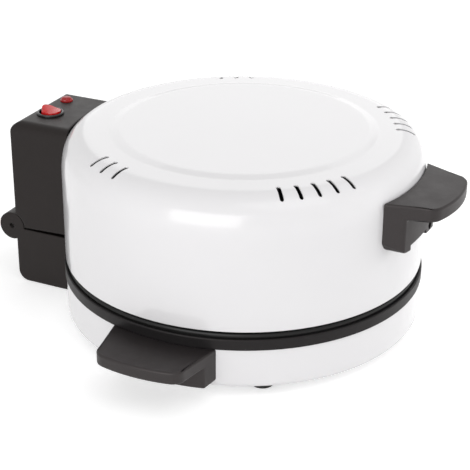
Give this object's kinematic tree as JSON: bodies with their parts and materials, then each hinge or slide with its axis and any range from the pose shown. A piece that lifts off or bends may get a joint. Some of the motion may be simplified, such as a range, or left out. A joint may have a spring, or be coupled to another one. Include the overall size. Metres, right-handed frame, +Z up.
{
  "type": "electric roti maker",
  "caption": "Countertop flatbread cooker: round pan with a deep hinged domed lid, side and lid handles, rear hinge box with rocker switch and lamp.",
  "frame": {"origin": "middle of the footprint on the table surface, under the pan", "axes": "+Z up; +Y towards the hinge and the rear box; -Y towards the lid's handle; +X to the right"},
  "size_m": [0.4114, 0.4311, 0.1771],
  "materials": {
    "white_enamel": "gloss white stove enamel",
    "zinc_steel": "zinc plated sheet, dull",
    "bright_shield": "aluminised sheet, satin",
    "foot_rubber": "moulded rubber, matte",
    "screw_steel": "plated steel, satin",
    "brass_parts": "tinned brass, satin",
    "black_moulding": "phenolic moulding, fine matte",
    "nonstick_plate": "cast plate with black non-stick coat, satin",
    "heater_sheath": "heat-darkened steel tube",
    "ceramic": "glazed ceramic, off white",
    "inlet_plastic": "black nylon, semi-gloss",
    "lead_sleeve": "glass-braid sleeve",
    "red_lens": "clear red moulding, gloss",
    "red_rocker": "translucent red moulding, gloss"
  },
  "bodies": {
    "base": {"base_shell": "white_enamel", "bottom_cover": "zinc_steel", "feet": "foot_rubber", "foot_screws": "screw_steel", "trim_ring": "black_moulding", "baking_plate": "nonstick_plate", "lower_heater": "heater_sheath", "heater_press_plate": "zinc_steel", "heat_shield": "bright_shield", "tie_spacers": "zinc_steel", "tie_bolts": "screw_steel", "thermostat": "ceramic", "handle_left": "black_moulding", "handle_right": "black_moulding", "base_handle_screws": "screw_steel", "rear_box_lower": "black_moulding", "rear_box_screws": "screw_steel", "terminal_block": "ceramic", "power_inlet": "inlet_plastic", "inlet_pins": "brass_parts", "base_leads": "lead_sleeve", "hinge_pin": "screw_steel"},
    "lid": {"lid_shell": "white_enamel", "lid_brackets": "zinc_steel", "lid_reflector": "bright_shield", "reflector_rivets": "screw_steel", "upper_heater": "heater_sheath", "heater_clips": "zinc_steel", "lid_handle": "black_moulding", "lid_handle_screws": "screw_steel", "lid_handle_nuts": "screw_steel", "rear_box_upper": "black_moulding", "lid_box_screws": "screw_steel", "switch_housing": "inlet_plastic", "switch_terminals": "brass_parts", "indicator_lamp": "red_lens", "lamp_holder": "inlet_plastic", "lid_leads": "lead_sleeve"},
    "rocker": {"switch_rocker": "red_rocker"}
  },
  "joints": [
    {"name": "lid_hinge", "type": "hinge", "parent": "base", "child": "lid", "pos_m": [0, 0.2024, 0.0553], "axis": [-1, 0, 0], "range_deg": [0, 95]},
    {"name": "rocker_tilt", "type": "hinge", "parent": "lid", "child": "rocker", "pos_m": [-0.0123, 0.1756, 0.1577], "axis": [-1, 0, 0], "range_deg": [0, 22]}
  ]
}
